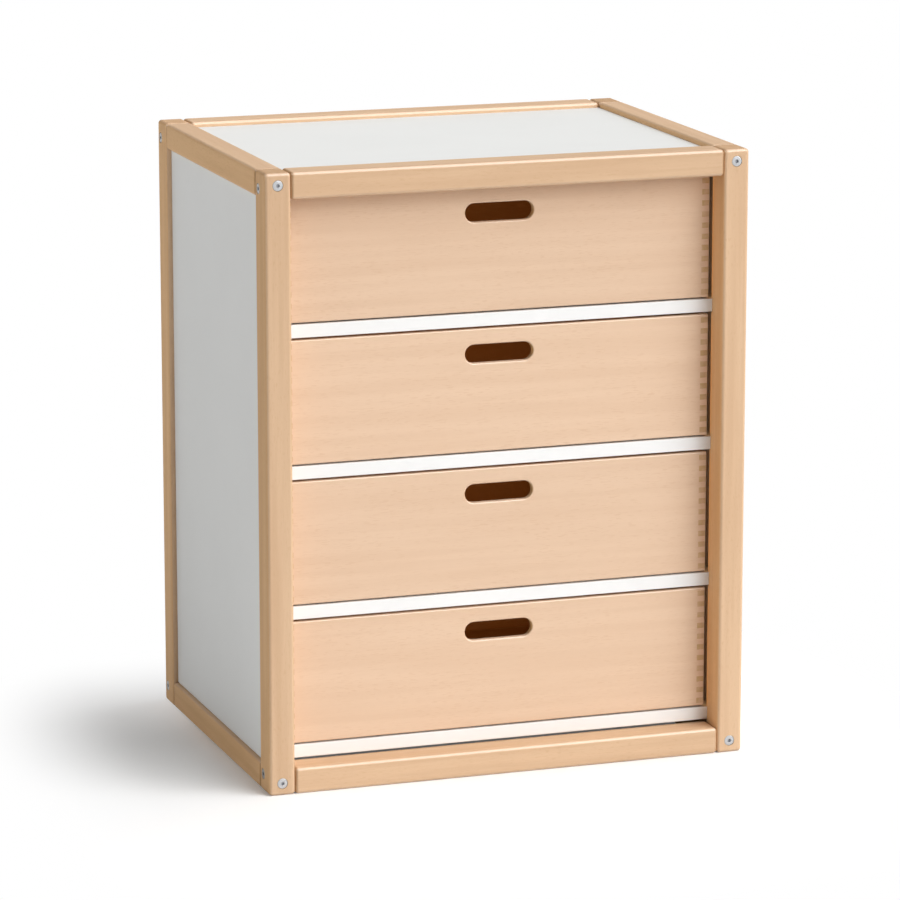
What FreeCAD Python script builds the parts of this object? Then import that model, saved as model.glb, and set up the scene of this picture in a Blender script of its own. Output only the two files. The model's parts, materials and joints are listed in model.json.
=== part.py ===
"""Drawer unit: a bolted beech frame with white panels and shelves, and four finger-jointed drawers.

Millimetres. The origin is the middle of the footprint on the floor. +X is to the right of a person
who faces the drawers, +Y runs from the front to the back, and +Z is up.
"""
import FreeCAD, Part
import math
import os

V = FreeCAD.Vector

# Overall size
unit_width = 720.0
unit_depth = 550.0
unit_height = 890.0

# Beech bars of the frame
post_width = 38.0
post_depth = 47.0
rail_height = 38.0
bar_edge_radius = 5.0

# White panels, held by a tongue in grooves of the bars
panel_thickness = 19.0
panel_recess = 7.5
panel_clearance = 0.2
tongue_thickness = 8.0
tongue_length = 5.0
groove_clearance = 0.2

# White shelves and bottom board
shelf_thickness = 19.0
shelf_setback = 40.0
shelf_clearance = 0.2
shelf_edge_radius = 1.0
bottom_board_gap = 3.5

# Drawers, which stand to the left within their side play
drawer_count = 4
drawer_left_gap = 0.5
drawer_right_gap = 6.5
drawer_top_gap = 3.5
drawer_rear_gap = 0.5
drawer_wall = 11.0
drawer_edge_radius = 2.0
finger_count = 11
finger_clearance = 0.05
drawer_bottom_thickness = 5.0
drawer_bottom_height = 8.0
drawer_groove_depth = 5.0
drawer_groove_clearance = 0.15

# Glide strips under the drawer sides
glide_thickness = 2.3
glide_width = 10.0
glide_inset = 25.0
glide_clearance = 0.2

# Hand slot in a drawer front
slot_length = 102.0
slot_height = 27.0
slot_drop = 36.0
slot_edge_radius = 2.5

# Frame bolts and threaded inserts
bolt_diameter = 6.0
bolt_clearance = 0.25
bolt_head_diameter = 15.0
bolt_head_height = 2.5
bolt_head_clearance = 0.3
bolt_head_sink = 0.2
bolt_engagement = 16.0
socket_across_flats = 5.0
socket_depth = 3.5
insert_diameter = 10.0
insert_length = 20.0
insert_clearance = 0.1
insert_end_clearance = 0.5
thread_clearance = 0.1

# Bolt places: the wood kept above an insert, the step between the two bolts of a corner,
# and the distance from the front face of the post
insert_wall = 2.8
bolt_stagger = 7.5
side_bolt_setback = 32.0

# Dowels
dowel_diameter = 8.0
dowel_clearance = 0.1
dowel_end_clearance = 0.5
dowel_in_post = 12.0
dowel_in_rail = 18.0
front_dowel_setback = 14.0
side_dowel_inset = 10.0
side_dowel_height = 10.0
dowel_in_panel = 10.0
dowel_in_shelf = 20.0
shelf_dowel_inset = 70.0

# Faces worked out from the driving sizes
half_width = unit_width / 2
half_depth = unit_depth / 2
inner_x = half_width - post_width
inner_y = half_depth - post_depth
panel_inner_offset = panel_recess + panel_thickness
panel_inner_x = half_width - panel_inner_offset
panel_inner_y = half_depth - panel_inner_offset
opening_top = unit_height - rail_height
front_plane = shelf_setback - half_depth

# Heights of the frame joints, from the end of the post
groove_floor = rail_height - tongue_length - groove_clearance
side_bolt_height = groove_floor - insert_wall - insert_diameter / 2
front_bolt_height = side_bolt_height - bolt_stagger
front_dowel_height = rail_height / 2

# Heights of the shelves and drawers
bottom_board_top = rail_height + bottom_board_gap + shelf_thickness
shelf_stack = (drawer_count - 1) * shelf_thickness
compartment_height = (opening_top - bottom_board_top - shelf_stack) / drawer_count
drawer_lift = glide_thickness + glide_clearance
drawer_height = compartment_height - drawer_lift - drawer_top_gap
finger_pitch = drawer_height / finger_count

# Plan of a drawer
drawer_half_width = inner_x - (drawer_left_gap + drawer_right_gap) / 2
drawer_shift = (drawer_left_gap - drawer_right_gap) / 2
drawer_back_plane = panel_inner_y - drawer_rear_gap
drawer_inner_x = drawer_half_width - drawer_wall
drawer_inner_front = front_plane + drawer_wall
drawer_inner_back = drawer_back_plane - drawer_wall

HEX_SIDES = 6
SIDES = {-1: "left", 1: "right"}
ENDS = {-1: "front", 1: "back"}
LEVELS = {-1: "bottom", 1: "top"}


def box(x_range, y_range, z_range):
    """A block between pairs of faces, given in any order."""
    low = V(min(x_range), min(y_range), min(z_range))
    high = V(max(x_range), max(y_range), max(z_range))
    size = high - low
    return Part.makeBox(size.x, size.y, size.z, low)


def rounded_bar(x_range, y_range, z_range):
    """A bar with all its edges rounded, so that butted bars show a fine groove."""
    bar = box(x_range, y_range, z_range)
    return bar.makeFillet(bar_edge_radius, bar.Edges)


def level(end, distance):
    """The height at a distance from the bottom end (-1) or the top end (1) of the frame."""
    return distance if end < 0 else unit_height - distance


def post_front(end):
    """The Y of the front face of the front posts (-1) or the back posts (1)."""
    return -half_depth if end < 0 else inner_y


def groove_band(outer, sign):
    """The two faces of a groove for a panel tongue, measured inwards from the outer face of a bar."""
    middle = panel_recess + panel_thickness / 2
    half = tongue_thickness / 2 + groove_clearance
    return (sign * (outer - middle - half), sign * (outer - middle + half))


def groove_depth(face, sign):
    """The open face and the bottom of a groove cut into a bar, towards the outside."""
    return (face * sign, sign * (face + tongue_length + groove_clearance))


# Bolts: each line starts on the outer face of a post and runs inwards through it
def front_bolt_line(side, end, height_end):
    """Start, direction and post thickness of a bolt that runs along the depth."""
    start = V(side * (half_width - post_width / 2), end * half_depth, level(height_end, front_bolt_height))
    return start, V(0, -end, 0), post_depth


def side_bolt_line(side, end, height_end):
    """Start, direction and post thickness of a bolt that runs along the width."""
    start = V(side * half_width, post_front(end) + side_bolt_setback, level(height_end, side_bolt_height))
    return start, V(-side, 0, 0), post_width


def bolt_cut(line):
    """The stepped hole that a post has for a bolt and its sunk head."""
    start, along, thickness = line
    hole = Part.makeCylinder(bolt_diameter / 2 + bolt_clearance, thickness, start, along)
    head_radius = bolt_head_diameter / 2 + bolt_head_clearance
    return hole.fuse(Part.makeCylinder(head_radius, bolt_head_sink + bolt_head_height, start, along))


def bolt(line):
    """A bolt with a flat round head and a hex socket."""
    start, along, thickness = line
    face = start + along * bolt_head_sink
    reach = thickness - bolt_head_sink + bolt_engagement
    head = Part.makeCylinder(bolt_head_diameter / 2, bolt_head_height, face, along)
    shank = Part.makeCylinder(bolt_diameter / 2, reach, face, along)
    step = 360 / HEX_SIDES
    corner = V(0, 0, socket_across_flats / 2 / math.cos(math.radians(step / 2)))
    corners = []
    for index in range(HEX_SIDES + 1):
        corners.append(face + FreeCAD.Rotation(along, step * index).multVec(corner))
    socket = Part.Face(Part.makePolygon(corners)).extrude(along * socket_depth)
    return head.fuse(shank).removeSplitter().cut(socket)


def insert_cut(line):
    """The hole in a rail end that takes a threaded insert and the tip of the bolt."""
    start, along, thickness = line
    depth = max(insert_length, bolt_engagement) + insert_end_clearance
    radius = insert_diameter / 2 + insert_clearance
    return Part.makeCylinder(radius, depth, start + along * thickness, along)


def insert(line):
    """A threaded insert, flush with the rail end."""
    start, along, thickness = line
    mouth = start + along * thickness
    sleeve = Part.makeCylinder(insert_diameter / 2, insert_length, mouth, along)
    return sleeve.cut(Part.makeCylinder(bolt_diameter / 2 + thread_clearance, insert_length, mouth, along))


# Dowels: each line starts where two pieces meet and points into the first of them
def front_dowel_line(side, end, height_end):
    """Start and direction of a dowel from a front or back rail into a post."""
    start = V(side * inner_x, post_front(end) + front_dowel_setback, level(height_end, front_dowel_height))
    return start, V(side, 0, 0)


def side_dowel_line(side, end, height_end):
    """Start and direction of a dowel from a left or right rail into a post."""
    start = V(side * (half_width - side_dowel_inset), end * inner_y, level(height_end, side_dowel_height))
    return start, V(0, end, 0)


def shelf_dowel_line(side, end, top):
    """Start and direction of a dowel from a shelf into a side panel."""
    start = V(side * panel_inner_x, end * (inner_y - shelf_dowel_inset), top - shelf_thickness / 2)
    return start, V(side, 0, 0)


def dowel_cut(line, depth, sign):
    """The blind hole for one half of a dowel, along its line (1) or against it (-1)."""
    start, along = line
    radius = dowel_diameter / 2 + dowel_clearance
    return Part.makeCylinder(radius, depth + dowel_end_clearance, start, along * sign)


def dowel(line, ahead, behind):
    """A dowel that reaches ahead into one piece and behind into the other."""
    start, along = line
    return Part.makeCylinder(dowel_diameter / 2, ahead + behind, start - along * behind, along)


def make_post(side, end):
    """A full-height corner post with its panel grooves, bolt holes and dowel holes."""
    post = rounded_bar(
        (side * half_width, side * inner_x), (end * half_depth, end * inner_y), (0, unit_height)
    )
    clear_height = (rail_height, opening_top)
    cuts = [box(groove_band(half_width, side), groove_depth(inner_y, end), clear_height)]
    if end > 0:
        cuts.append(box(groove_depth(inner_x, side), groove_band(half_depth, end), clear_height))
    for height_end in LEVELS:
        cuts.append(bolt_cut(front_bolt_line(side, end, height_end)))
        cuts.append(bolt_cut(side_bolt_line(side, end, height_end)))
        cuts.append(dowel_cut(front_dowel_line(side, end, height_end), dowel_in_post, 1))
        cuts.append(dowel_cut(side_dowel_line(side, end, height_end), dowel_in_post, 1))
    return post.cut(cuts)


def make_cross_rail(end, height_end):
    """A front or back rail, between the posts across the width."""
    height = (level(height_end, 0), level(height_end, rail_height))
    rail = rounded_bar((-inner_x, inner_x), (end * half_depth, end * inner_y), height)
    cuts = []
    if height_end > 0:
        cuts.append(box((-inner_x, inner_x), groove_depth(inner_y, end), groove_band(unit_height, 1)))
    if end > 0:
        depth = tongue_length + groove_clearance
        span = (level(height_end, rail_height), level(height_end, rail_height - depth))
        cuts.append(box((-inner_x, inner_x), groove_band(half_depth, end), span))
    for side in SIDES:
        cuts.append(insert_cut(side_bolt_line(side, end, height_end)))
        cuts.append(dowel_cut(front_dowel_line(side, end, height_end), dowel_in_rail, -1))
    return rail.cut(cuts)


def make_side_rail(side, height_end):
    """A left or right rail, between the posts along the depth."""
    height = (level(height_end, 0), level(height_end, rail_height))
    rail = rounded_bar((side * half_width, side * inner_x), (-inner_y, inner_y), height)
    depth = tongue_length + groove_clearance
    span = (level(height_end, rail_height), level(height_end, rail_height - depth))
    cuts = [box(groove_band(half_width, side), (-inner_y, inner_y), span)]
    if height_end > 0:
        cuts.append(box(groove_depth(inner_x, side), (-inner_y, inner_y), groove_band(unit_height, 1)))
    for end in ENDS:
        cuts.append(insert_cut(front_bolt_line(side, end, height_end)))
        cuts.append(dowel_cut(side_dowel_line(side, end, height_end), dowel_in_rail, -1))
    return rail.cut(cuts)


def shrink(span, amount):
    """A span made shorter by an amount at each end."""
    return (min(span) + amount, max(span) - amount)


def panel_spans(outer, sign):
    """The faces of a panel and of its tongue, across its thickness."""
    faces = (sign * (outer - panel_recess), sign * (outer - panel_inner_offset))
    return faces, shrink(faces, (panel_thickness - tongue_thickness) / 2)


def make_side_panel(side):
    """A white side panel: a board with a tongue on each of its four edges."""
    faces, tongue = panel_spans(half_width, side)
    along = shrink((-inner_y, inner_y), panel_clearance)
    upright = shrink((rail_height, opening_top), panel_clearance)
    board = box(faces, along, upright)
    long_tongue = box(tongue, shrink((-inner_y, inner_y), -tongue_length), upright)
    cross_tongue = box(tongue, along, shrink((rail_height, opening_top), -tongue_length))
    return board.fuse([long_tongue, cross_tongue]).removeSplitter()


def make_back_panel():
    """The white back panel."""
    faces, tongue = panel_spans(half_depth, 1)
    along = shrink((-inner_x, inner_x), panel_clearance)
    upright = shrink((rail_height, opening_top), panel_clearance)
    board = box(along, faces, upright)
    long_tongue = box(shrink((-inner_x, inner_x), -tongue_length), tongue, upright)
    cross_tongue = box(along, tongue, shrink((rail_height, opening_top), -tongue_length))
    return board.fuse([long_tongue, cross_tongue]).removeSplitter()


def make_top_panel():
    """The white top panel, a shallow tray between the top rails."""
    faces, tongue = panel_spans(unit_height, 1)
    across = shrink((-inner_x, inner_x), panel_clearance)
    along = shrink((-inner_y, inner_y), panel_clearance)
    board = box(across, along, faces)
    side_tongues = box(shrink((-inner_x, inner_x), -tongue_length), along, tongue)
    end_tongues = box(across, shrink((-inner_y, inner_y), -tongue_length), tongue)
    return board.fuse([side_tongues, end_tongues]).removeSplitter()


def make_shelf(top):
    """A shelf board notched round the posts, with eased front edges."""
    thickness = (top - shelf_thickness, top)
    between_posts = shrink((-inner_x, inner_x), shelf_clearance)
    between_panels = shrink((-panel_inner_x, panel_inner_x), shelf_clearance)
    tongue = box(between_posts, (front_plane, panel_inner_y - shelf_clearance), thickness)
    front_edges = [edge for edge in tongue.Edges if edge.BoundBox.YMax < -inner_y]
    long_edges = [edge for edge in front_edges if edge.Length > shelf_thickness]
    tongue = tongue.makeFillet(shelf_edge_radius, long_edges)
    wide = box(between_panels, shrink((-inner_y, inner_y), shelf_clearance), thickness)
    shelf = tongue.fuse(wide).removeSplitter()
    lines = [shelf_dowel_line(side, end, top) for side in SIDES for end in ENDS]
    return shelf.cut([dowel_cut(line, dowel_in_shelf, -1) for line in lines])


def finger_spans(base):
    """The heights of the fingers of a drawer side, as wide as the gaps between them."""
    fingers = []
    for index in range(finger_count):
        middle = base + (index + 0.5) * finger_pitch
        fingers.append((middle - finger_pitch / 4, middle + finger_pitch / 4))
    return fingers


def gap_spans(base):
    """The heights of the gaps beside those fingers, with half a gap at the top and at the bottom."""
    fingers = finger_spans(base)
    lows = [base] + [high for low, high in fingers]
    highs = [low for low, high in fingers] + [base + drawer_height]
    return list(zip(lows, highs))


def finger_cuts(spans, x_range, y_range):
    """The notches of a finger joint at the heights given."""
    return [box(x_range, y_range, shrink(span, -finger_clearance)) for span in spans]


def eased_board(x_range, y_range, base, long_axis):
    """An upright drawer board with its long edges rounded."""
    board = box(x_range, y_range, (base, base + drawer_height))
    edges = []
    for edge in board.Edges:
        run = edge.Vertexes[1].Point - edge.Vertexes[0].Point
        if abs(run.dot(long_axis)) > drawer_wall:
            edges.append(edge)
    return board.makeFillet(drawer_edge_radius, edges)


def bottom_groove_span(base):
    """The height of the groove for a drawer bottom."""
    low = base + drawer_bottom_height
    return (low - drawer_groove_clearance, low + drawer_bottom_thickness + drawer_groove_clearance)


def make_drawer_end(end, base):
    """The front (-1) or back (1) of a drawer box, with fingers at both ends and a groove for the bottom."""
    outer = front_plane if end < 0 else drawer_back_plane
    inner = drawer_inner_front if end < 0 else drawer_inner_back
    board = eased_board((-drawer_half_width, drawer_half_width), (outer, inner), base, V(1, 0, 0))
    cuts = []
    for side in SIDES:
        x_range = (side * drawer_half_width, side * (drawer_inner_x - finger_clearance))
        cuts += finger_cuts(finger_spans(base), x_range, (outer, inner))
    groove = (inner, inner + end * drawer_groove_depth)
    cuts.append(box((-drawer_inner_x, drawer_inner_x), groove, bottom_groove_span(base)))
    return board.cut(cuts)


def make_drawer_side(side, base):
    """The left (-1) or right (1) side of a drawer box, with the matching fingers."""
    outer = side * drawer_half_width
    inner = side * drawer_inner_x
    board = eased_board((outer, inner), (front_plane, drawer_back_plane), base, V(0, 1, 0))
    cuts = []
    for face, depth in ((front_plane, drawer_wall), (drawer_back_plane, -drawer_wall)):
        reach = depth + (finger_clearance if depth > 0 else -finger_clearance)
        cuts += finger_cuts(gap_spans(base), (outer, inner), (face, face + reach))
    groove = (inner, inner + side * drawer_groove_depth)
    cuts.append(box(groove, (drawer_inner_front, drawer_inner_back), bottom_groove_span(base)))
    return board.cut(cuts)


def hand_slot(base):
    """The rounded slot through a drawer front, as a solid to cut away."""
    radius = slot_height / 2
    reach = slot_length / 2 - radius
    middle = base + drawer_height - slot_drop
    face = front_plane

    def at(x, z):
        return V(x, face, middle + z)

    outline = Part.Wire(
        [
            Part.LineSegment(at(-reach, radius), at(reach, radius)).toShape(),
            Part.Arc(at(reach, radius), at(reach + radius, 0), at(reach, -radius)).toShape(),
            Part.LineSegment(at(reach, -radius), at(-reach, -radius)).toShape(),
            Part.Arc(at(-reach, -radius), at(-reach - radius, 0), at(-reach, radius)).toShape(),
        ]
    )
    return Part.Face(outline).extrude(V(0, drawer_wall, 0))


def make_drawer_front(base):
    """A drawer front with its hand slot, rounded on both faces."""
    slot = hand_slot(base)
    front = make_drawer_end(-1, base).cut(slot)
    around = slot.BoundBox
    around.enlarge(slot_edge_radius)
    rims = [edge for edge in front.Edges if around.isInside(edge.BoundBox)]
    rims = [edge for edge in rims if edge.BoundBox.YLength < drawer_wall / 2]
    return front.makeFillet(slot_edge_radius, rims)


def make_drawer_bottom(base):
    """A thin drawer bottom that enters the grooves on its four edges."""
    low = base + drawer_bottom_height
    thickness = (low, low + drawer_bottom_thickness)
    engagement = drawer_groove_depth - drawer_groove_clearance
    across = shrink((-drawer_inner_x, drawer_inner_x), drawer_groove_clearance)
    along = shrink((drawer_inner_front, drawer_inner_back), drawer_groove_clearance)
    side_to_side = box(shrink((-drawer_inner_x, drawer_inner_x), -engagement), along, thickness)
    front_to_back = box(across, shrink((drawer_inner_front, drawer_inner_back), -engagement), thickness)
    return side_to_side.fuse(front_to_back).removeSplitter()


def make_glides(base):
    """Two glide strips under the sides of a drawer."""
    middle = (drawer_half_width + drawer_inner_x) / 2
    along = shrink((front_plane, drawer_back_plane), glide_inset)
    strips = []
    for side in SIDES:
        across = (side * middle - glide_width / 2, side * middle + glide_width / 2)
        strips.append(box(across, along, (base - glide_thickness, base)))
    return Part.makeCompound(strips)


def make_frame():
    """The posts and rails of the frame, by node name."""
    nodes = {}
    for end, end_name in ENDS.items():
        for side, side_name in SIDES.items():
            nodes[f"post_{end_name}_{side_name}"] = make_post(side, end)
    for height_end, level_name in LEVELS.items():
        for end, end_name in ENDS.items():
            nodes[f"rail_{end_name}_{level_name}"] = make_cross_rail(end, height_end)
        for side, side_name in SIDES.items():
            nodes[f"rail_{side_name}_{level_name}"] = make_side_rail(side, height_end)
    return nodes


def make_fasteners(shelf_tops):
    """The bolts, inserts and dowels, by node name."""
    corners = [(side, end, height_end) for side in SIDES for end in ENDS for height_end in LEVELS]
    nodes = {}
    for end, end_name in ENDS.items():
        lines = [front_bolt_line(*corner) for corner in corners if corner[1] == end]
        nodes[f"bolts_{end_name}"] = Part.makeCompound([bolt(line) for line in lines])
    for side, side_name in SIDES.items():
        lines = [side_bolt_line(*corner) for corner in corners if corner[0] == side]
        nodes[f"bolts_{side_name}"] = Part.makeCompound([bolt(line) for line in lines])
    inserts = []
    rail_dowels = []
    for corner in corners:
        inserts.append(insert(front_bolt_line(*corner)))
        inserts.append(insert(side_bolt_line(*corner)))
        rail_dowels.append(dowel(front_dowel_line(*corner), dowel_in_post, dowel_in_rail))
        rail_dowels.append(dowel(side_dowel_line(*corner), dowel_in_post, dowel_in_rail))
    shelf_dowels = []
    for top in shelf_tops:
        lines = [shelf_dowel_line(side, end, top) for side in SIDES for end in ENDS]
        shelf_dowels += [dowel(line, dowel_in_panel, dowel_in_shelf) for line in lines]
    nodes["inserts"] = Part.makeCompound(inserts)
    nodes["rail_dowels"] = Part.makeCompound(rail_dowels)
    nodes["shelf_dowels"] = Part.makeCompound(shelf_dowels)
    return nodes


def make_boards(shelf_tops):
    """The panels, shelves and bottom board, by node name."""
    nodes = {"panel_back": make_back_panel(), "panel_top": make_top_panel()}
    for side, side_name in SIDES.items():
        lines = [shelf_dowel_line(side, end, top) for top in shelf_tops for end in ENDS]
        holes = [dowel_cut(line, dowel_in_panel, 1) for line in lines]
        nodes[f"panel_{side_name}"] = make_side_panel(side).cut(holes)
    for number, top in enumerate(shelf_tops, start=1):
        name = "board_bottom" if number == drawer_count else f"shelf_{number}"
        nodes[name] = make_shelf(top)
    return nodes


def make_drawer(number, base):
    """The six pieces of one drawer, by node name."""
    pieces = {
        "front": make_drawer_front(base),
        "back": make_drawer_end(1, base),
        "left": make_drawer_side(-1, base),
        "right": make_drawer_side(1, base),
        "bottom": make_drawer_bottom(base),
        "glides": make_glides(base),
    }
    place = V(drawer_shift, 0, 0)
    return {f"drawer_{number}_{name}": shape.translated(place) for name, shape in pieces.items()}


def main():
    """Build every piece and write one file for each node."""
    pitch = compartment_height + shelf_thickness
    shelf_tops = [bottom_board_top + pitch * step for step in reversed(range(drawer_count))]
    nodes = make_frame()
    nodes.update(make_boards(shelf_tops))
    nodes.update(make_fasteners(shelf_tops))
    for number, top in enumerate(shelf_tops, start=1):
        nodes.update(make_drawer(number, top + drawer_lift))
    os.makedirs("parts", exist_ok=True)
    for name, shape in nodes.items():
        shape.exportStep(f"parts/{name}.step")


main()
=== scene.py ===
"""Looks of the drawer unit: beech bars, white boards, finger-jointed drawers and zinc bolts.

Metres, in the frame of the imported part: +X to the right, +Y to the back, +Z up, origin on the floor.
"""

import itertools
import json
import logging
import math
from abc import ABC, abstractmethod
from dataclasses import dataclass, replace
from enum import Enum
from typing import Any

import bpy
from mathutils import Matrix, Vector

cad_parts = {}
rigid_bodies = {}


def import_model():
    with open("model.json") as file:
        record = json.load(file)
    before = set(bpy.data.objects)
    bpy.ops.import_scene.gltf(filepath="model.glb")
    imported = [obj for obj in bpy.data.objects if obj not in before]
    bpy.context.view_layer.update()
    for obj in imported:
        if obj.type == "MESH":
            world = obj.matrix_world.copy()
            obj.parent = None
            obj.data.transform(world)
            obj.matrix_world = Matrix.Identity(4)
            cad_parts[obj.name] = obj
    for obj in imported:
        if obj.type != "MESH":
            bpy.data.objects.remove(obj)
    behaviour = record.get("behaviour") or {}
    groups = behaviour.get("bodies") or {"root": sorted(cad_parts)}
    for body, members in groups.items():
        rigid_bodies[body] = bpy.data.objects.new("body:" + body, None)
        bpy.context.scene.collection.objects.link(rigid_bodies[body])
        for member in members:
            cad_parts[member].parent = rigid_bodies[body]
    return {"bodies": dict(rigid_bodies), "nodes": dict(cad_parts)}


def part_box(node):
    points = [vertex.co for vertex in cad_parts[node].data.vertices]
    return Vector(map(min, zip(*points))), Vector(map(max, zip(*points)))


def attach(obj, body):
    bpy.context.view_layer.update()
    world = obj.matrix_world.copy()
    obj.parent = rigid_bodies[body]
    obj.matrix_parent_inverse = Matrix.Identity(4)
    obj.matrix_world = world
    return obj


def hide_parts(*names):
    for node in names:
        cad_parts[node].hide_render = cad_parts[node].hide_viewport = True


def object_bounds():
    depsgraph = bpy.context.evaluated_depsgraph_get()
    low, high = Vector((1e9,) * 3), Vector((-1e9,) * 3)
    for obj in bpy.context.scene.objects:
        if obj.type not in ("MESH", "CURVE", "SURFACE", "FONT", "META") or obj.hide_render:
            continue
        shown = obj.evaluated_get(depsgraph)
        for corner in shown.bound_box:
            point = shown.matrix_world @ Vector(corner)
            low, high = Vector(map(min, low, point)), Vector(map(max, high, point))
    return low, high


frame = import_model()
cad_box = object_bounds()

log = logging.getLogger("drawer_unit")
CABINET = "cabinet"

Colour = tuple[float, float, float]
Point = tuple[float, float, float]
Span = tuple[float, float]
Socket = bpy.types.NodeSocket
Outputs = bpy.types.NodeOutputs
# What a node's input takes: an output socket or a plain value
Feed = Socket | float | str | tuple[float, ...]
Inputs = dict[str | int, Feed]

WHITE: Colour = (1.0, 1.0, 1.0)
ORIGIN: Point = (0.0, 0.0, 0.0)
FULL: Span = (0.0, 1.0)
HEX_SIDES = 6
# Values that the turned bolts carry on their points for their finish
TURNING_RADIUS = "turning_radius"
SOCKET_RECESS = "socket_recess"


class Grain(Enum):
    """The way that the fibres of a piece of wood run, as axis letters with that axis last."""

    ACROSS = ("Y", "Z", "X")
    DEEP = ("X", "Z", "Y")
    UPRIGHT = ("X", "Y", "Z")


class Detail(Enum):
    """How many finer layers a noise has over its main spots."""

    PLAIN = 1.0
    USUAL = 2.0
    RICH = 3.0


class Side(Enum):
    """A side of the cabinet: the way it faces, and the turns that stand a bolt's head on it."""

    FRONT = ((0.0, -1.0, 0.0), (math.pi / 2, 0.0, 0.0))
    BACK = ((0.0, 1.0, 0.0), (-math.pi / 2, 0.0, 0.0))
    LEFT = ((-1.0, 0.0, 0.0), (0.0, -math.pi / 2, 0.0))
    RIGHT = ((1.0, 0.0, 0.0), (0.0, math.pi / 2, 0.0))

    @property
    def outward(self) -> Point:
        """The way that the side faces."""
        return self.value[0]

    @property
    def turns(self) -> Point:
        """The turns about X, Y and Z that point a bolt's head outwards."""
        return self.value[1]


def opaque(colour: Feed) -> Feed:
    """A plain colour with full opacity, and a socket as it is."""
    return (*colour, 1.0) if isinstance(colour, tuple) else colour


def even(size: float) -> Point:
    """A spot of one size along every axis."""
    return (size, size, size)


def drawn(size: float, length: float) -> Point:
    """A spot that is drawn out along the last axis."""
    return (size, size, length)


class Graph:
    """Short ways to add nodes to a node tree and to join them."""

    # Sockets that share their name with others, and so go by number
    MIX_FACTOR, MIX_FIRST, MIX_SECOND, MIX_RESULT = 0, 6, 7, 2
    RANDOM_LEAST, RANDOM_MOST, RANDOM_RESULT = 2, 3, 1

    def __init__(self, tree: bpy.types.NodeTree) -> None:
        """Keeps the tree that the nodes go into."""
        self.tree = tree

    @classmethod
    def cleared(cls, owner: bpy.types.Material | bpy.types.World) -> "Graph":
        """An empty graph in a material or a world.

        Args:
            owner: The material or world whose nodes are built.

        Returns:
            The graph, with no node in it.
        """
        owner.use_nodes = True
        owner.node_tree.nodes.clear()
        return cls(owner.node_tree)

    def add(self, kind: str, inputs: Inputs | None = None, **settings: Any) -> bpy.types.Node:
        """Adds a node.

        Args:
            kind: Blender's name of the node type.
            inputs: A value or an output socket for each input, by name or number.
            settings: Properties of the node.

        Returns:
            The new node.
        """
        node = self.tree.nodes.new(kind)
        for name, value in settings.items():
            setattr(node, name, value)
        for key, value in (inputs or {}).items():
            self.feed(node.inputs[key], value)
        return node

    def feed(self, socket: Socket, value: Feed) -> None:
        """Links an output socket to an input, or writes a plain value on it.

        Args:
            socket: The input.
            value: The output socket or the value.
        """
        if isinstance(value, Socket):
            self.tree.links.new(value, socket)
        else:
            socket.default_value = value

    def math(self, operation: str, *values: Feed) -> Socket:
        """The result of a sum on one to three numbers."""
        return self.add("ShaderNodeMath", dict(enumerate(values)), operation=operation).outputs[0]

    def vector(self, operation: str, *values: Feed) -> Socket:
        """The result of a sum on vectors."""
        return self.add("ShaderNodeVectorMath", dict(enumerate(values)), operation=operation).outputs[0]

    def scaled(self, vector: Feed, factor: Feed) -> Socket:
        """A vector or colour times a number."""
        return self.add("ShaderNodeVectorMath", {0: vector, "Scale": factor}, operation="SCALE").outputs[0]

    def length(self, vector: Feed) -> Socket:
        """How long a vector is."""
        return self.add("ShaderNodeVectorMath", {0: vector}, operation="LENGTH").outputs["Value"]

    def parts(self, vector: Feed) -> Outputs:
        """The outputs X, Y and Z of a vector."""
        return self.add("ShaderNodeSeparateXYZ", {0: vector}).outputs

    def joined(self, parts: Inputs) -> Socket:
        """A vector from its parts, by letter or number."""
        return self.add("ShaderNodeCombineXYZ", parts).outputs[0]

    def attribute(self, name: str) -> Socket:
        """A value that the mesh carries on its points."""
        return self.add("ShaderNodeAttribute", attribute_name=name).outputs["Fac"]

    def spread(self, value: Feed, edge: Span, strength: Span = FULL) -> Socket:
        """A smooth step.

        Args:
            value: The number that drives the step.
            edge: Where the step begins and ends.
            strength: The result before and after the step.

        Returns:
            The result.
        """
        inputs = {
            "Value": value,
            "From Min": edge[0],
            "From Max": edge[1],
            "To Min": strength[0],
            "To Max": strength[1],
        }
        node = self.add("ShaderNodeMapRange", inputs, interpolation_type="SMOOTHSTEP")
        return node.outputs["Result"]

    def tint(self, factor: Feed, first: Feed, second: Feed, mode: str = "MIX") -> Socket:
        """One colour laid over another.

        Args:
            factor: How much of the second colour shows.
            first: The colour below.
            second: The colour on top.
            mode: Blender's name of the way they blend.

        Returns:
            The colour.
        """
        inputs = {self.MIX_FACTOR: factor, self.MIX_FIRST: opaque(first), self.MIX_SECOND: opaque(second)}
        node = self.add("ShaderNodeMix", inputs, data_type="RGBA", blend_type=mode)
        return node.outputs[self.MIX_RESULT]

    def random(self, least: float, most: float, seed: Feed) -> Socket:
        """A random number for each copy."""
        inputs = {self.RANDOM_LEAST: least, self.RANDOM_MOST: most, "Seed": seed}
        return self.add("FunctionNodeRandomValue", inputs, data_type="FLOAT").outputs[self.RANDOM_RESULT]


def seen(graph: Graph) -> Socket:
    """1 for a ray that the eye follows, straight or by a mirror or glass, and 0 for light.

    Args:
        graph: The tree that gets the nodes.

    Returns:
        The number.
    """
    path = graph.add("ShaderNodeLightPath").outputs
    shiny = graph.math("MAXIMUM", path["Is Glossy Ray"], path["Is Transmission Ray"])
    return graph.math("MAXIMUM", path["Is Camera Ray"], shiny)


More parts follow.
